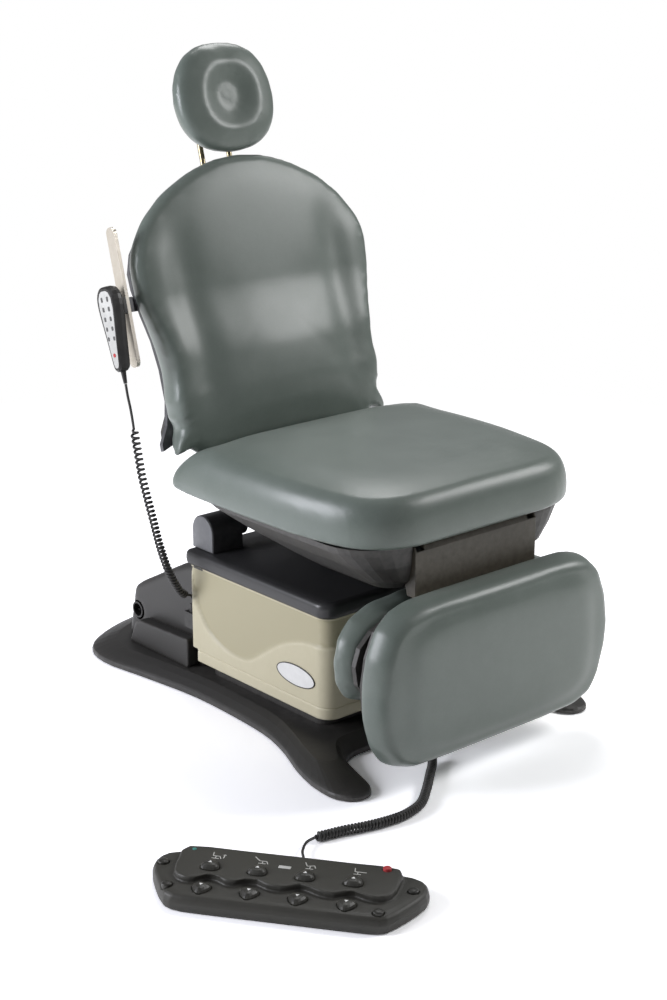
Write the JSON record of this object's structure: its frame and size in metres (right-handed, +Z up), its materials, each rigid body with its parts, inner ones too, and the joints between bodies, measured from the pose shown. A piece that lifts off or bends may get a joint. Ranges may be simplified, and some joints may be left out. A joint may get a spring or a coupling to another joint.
{
  "type": "oral procedure chair",
  "caption": "Powered procedure chair on a telescoping base, with a tilting seat, reclining back, headrest, rising leg section, and corded hand and foot controls.",
  "frame": {"origin": "centre of the base's footprint on the floor", "axes": "+Z up; the chair faces -Y; +X towards the sitter's left"},
  "size_m": [1.1911, 1.4542, 1.3565],
  "materials": {
    "frame_steel": "dark grey powder coat",
    "bright_steel": "ground steel",
    "rail_steel": "satin stainless steel",
    "aluminium_case": "plain sheet case",
    "black_moulding": "fine-grained black moulding",
    "pedal_moulding": "fine-grained black moulding",
    "brown_moulding": "dark brown-grey moulding",
    "beige_moulding": "beige moulding",
    "socket_black": "smooth black plastic",
    "pivot_grey": "mid grey paint",
    "badge_metal": "pale satin plate",
    "label_grey": "light grey label film",
    "green_vinyl": "grey-green upholstery vinyl",
    "black_board": "plywood painted black",
    "circuit_board": "green circuit board",
    "button_rubber": "matt black rubber",
    "stop_red": "red plastic",
    "cord_rubber": "black cord jacket"
  },
  "bodies": {
    "base": {"base_frame": "frame_steel", "base_cover": "black_moulding", "lower_skirt": "black_moulding", "rear_housing": "black_moulding", "side_steps": "black_moulding", "power_inlet": "socket_black", "column_outer": "bright_steel", "control_box": "aluminium_case", "foot_cord_socket": "socket_black", "foot_cord": "cord_rubber", "foot_control_base": "black_moulding", "foot_control_shell": "pedal_moulding", "foot_control_board": "circuit_board"},
    "lift_stage": {"middle_shroud": "black_moulding", "column_middle": "bright_steel"},
    "carriage": {"carriage_shroud": "beige_moulding", "badge_plate": "badge_metal", "carriage_tray": "black_moulding", "column_inner": "bright_steel", "pivot_housings": "pivot_grey", "tilt_shaft": "bright_steel", "tilt_actuator": "frame_steel", "hand_cord_socket": "socket_black"},
    "tilt_drive": {"tilt_rod": "bright_steel"},
    "seat": {"seat_frame": "frame_steel", "seat_shell": "brown_moulding", "seat_pad": "green_vinyl", "seat_actuators": "frame_steel", "hinge_pins": "bright_steel", "hand_cord": "cord_rubber"},
    "back_drive": {"back_rod": "bright_steel"},
    "leg_drive": {"leg_rod": "bright_steel"},
    "back": {"back_frame": "frame_steel", "back_pad": "green_vinyl", "back_cover": "black_moulding", "accessory_rail": "rail_steel", "control_holder": "socket_black"},
    "hand_control": {"hand_control_shell": "pedal_moulding", "hand_control_keypad": "label_grey"},
    "headrest": {"headrest_rods": "bright_steel", "headrest_pad": "green_vinyl"},
    "leg": {"leg_hinge_cover": "brown_moulding", "leg_frame": "frame_steel", "leg_board": "black_board", "leg_pad": "green_vinyl", "footrest_board": "black_board", "footrest_pad": "green_vinyl"},
    "key_base_up": {"button_base_up": "button_rubber"},
    "key_back_up": {"button_back_up": "button_rubber"},
    "key_tilt_up": {"button_tilt_up": "button_rubber"},
    "key_leg_up": {"button_leg_up": "button_rubber"},
    "key_base_down": {"button_base_down": "button_rubber"},
    "key_back_down": {"button_back_down": "button_rubber"},
    "key_tilt_down": {"button_tilt_down": "button_rubber"},
    "key_leg_down": {"button_leg_down": "button_rubber"},
    "key_stop": {"button_stop": "stop_red"},
    "key_memory_1": {"memory_button_1": "button_rubber"},
    "key_memory_2": {"memory_button_2": "button_rubber"},
    "key_memory_3": {"memory_button_3": "button_rubber"},
    "key_memory_4": {"memory_button_4": "button_rubber"}
  },
  "joints": [
    {"name": "lift_lower", "type": "slide", "parent": "base", "child": "lift_stage", "axis": [0, 0, 1], "range_m": [0, 0.189]},
    {"name": "lift_upper", "type": "slide", "parent": "lift_stage", "child": "carriage", "axis": [0, 0, 1], "range_m": [0, 0.189]},
    {"name": "seat_tilt", "type": "hinge", "parent": "carriage", "child": "seat", "pos_m": [0, 0.083, 0.366], "axis": [-1, 0, 0], "range_deg": [0, 25], "deforming": ["hand_cord"]},
    {"name": "tilt_drive_slide", "type": "slide", "parent": "carriage", "child": "tilt_drive", "axis": [0, 1, 0], "range_m": [0, 0.0226]},
    {"name": "back_recline", "type": "hinge", "parent": "seat", "child": "back", "pos_m": [0, 0.108, 0.472], "axis": [-1, 0, 0], "range_deg": [0, 70], "deforming": ["hand_cord"]},
    {"name": "back_drive_slide", "type": "slide", "parent": "seat", "child": "back_drive", "axis": [0, -1, 0], "range_m": [0, 0.0689]},
    {"name": "leg_raise", "type": "hinge", "parent": "seat", "child": "leg", "pos_m": [0, -0.492, 0.45], "axis": [-1, 0, 0], "range_deg": [0, 85]},
    {"name": "leg_drive_slide", "type": "slide", "parent": "seat", "child": "leg_drive", "axis": [0, -1, 0], "range_m": [0, 0.0676]},
    {"name": "headrest_height", "type": "slide", "parent": "back", "child": "headrest", "axis": [0, 0.2588, 0.9659], "range_m": [0, 0.12]},
    {"name": "hand_control_unhook", "type": "slide", "parent": "back", "child": "hand_control", "axis": [0, 0.2588, 0.9659], "range_m": [0, 0.06], "deforming": ["hand_cord"]},
    {"name": "press_base_up", "type": "slide", "parent": "base", "child": "key_base_up", "axis": [0, 0, -1], "range_m": [0, 0.002], "stiffness_N_per_m": 800, "springref_m": -0.0015},
    {"name": "press_back_up", "type": "slide", "parent": "base", "child": "key_back_up", "axis": [0, 0, -1], "range_m": [0, 0.002], "stiffness_N_per_m": 800, "springref_m": -0.0015},
    {"name": "press_tilt_up", "type": "slide", "parent": "base", "child": "key_tilt_up", "axis": [0, 0, -1], "range_m": [0, 0.002], "stiffness_N_per_m": 800, "springref_m": -0.0015},
    {"name": "press_leg_up", "type": "slide", "parent": "base", "child": "key_leg_up", "axis": [0, 0, -1], "range_m": [0, 0.002], "stiffness_N_per_m": 800, "springref_m": -0.0015},
    {"name": "press_base_down", "type": "slide", "parent": "base", "child": "key_base_down", "axis": [0, 0, -1], "range_m": [0, 0.002], "stiffness_N_per_m": 800, "springref_m": -0.0015},
    {"name": "press_back_down", "type": "slide", "parent": "base", "child": "key_back_down", "axis": [0, 0, -1], "range_m": [0, 0.002], "stiffness_N_per_m": 800, "springref_m": -0.0015},
    {"name": "press_tilt_down", "type": "slide", "parent": "base", "child": "key_tilt_down", "axis": [0, 0, -1], "range_m": [0, 0.002], "stiffness_N_per_m": 800, "springref_m": -0.0015},
    {"name": "press_leg_down", "type": "slide", "parent": "base", "child": "key_leg_down", "axis": [0, 0, -1], "range_m": [0, 0.002], "stiffness_N_per_m": 800, "springref_m": -0.0015},
    {"name": "press_stop", "type": "slide", "parent": "base", "child": "key_stop", "axis": [0, 0, -1], "range_m": [0, 0.002], "stiffness_N_per_m": 800, "springref_m": -0.0015},
    {"name": "press_memory_1", "type": "slide", "parent": "base", "child": "key_memory_1", "axis": [0, 0, -1], "range_m": [0, 0.002], "stiffness_N_per_m": 800, "springref_m": -0.0015},
    {"name": "press_memory_2", "type": "slide", "parent": "base", "child": "key_memory_2", "axis": [0, 0, -1], "range_m": [0, 0.002], "stiffness_N_per_m": 800, "springref_m": -0.0015},
    {"name": "press_memory_3", "type": "slide", "parent": "base", "child": "key_memory_3", "axis": [0, 0, -1], "range_m": [0, 0.002], "stiffness_N_per_m": 800, "springref_m": -0.0015},
    {"name": "press_memory_4", "type": "slide", "parent": "base", "child": "key_memory_4", "axis": [0, 0, -1], "range_m": [0, 0.002], "stiffness_N_per_m": 800, "springref_m": -0.0015}
  ],
  "couplings": [
    {"joint": "lift_upper", "follows": "lift_lower", "ratio": 1},
    {"joint": "tilt_drive_slide", "follows": "seat_tilt", "m_per_rad": 0.05159},
    {"joint": "back_drive_slide", "follows": "back_recline", "m_per_rad": 0.05634},
    {"joint": "leg_drive_slide", "follows": "leg_raise", "m_per_rad": 0.04554}
  ]
}
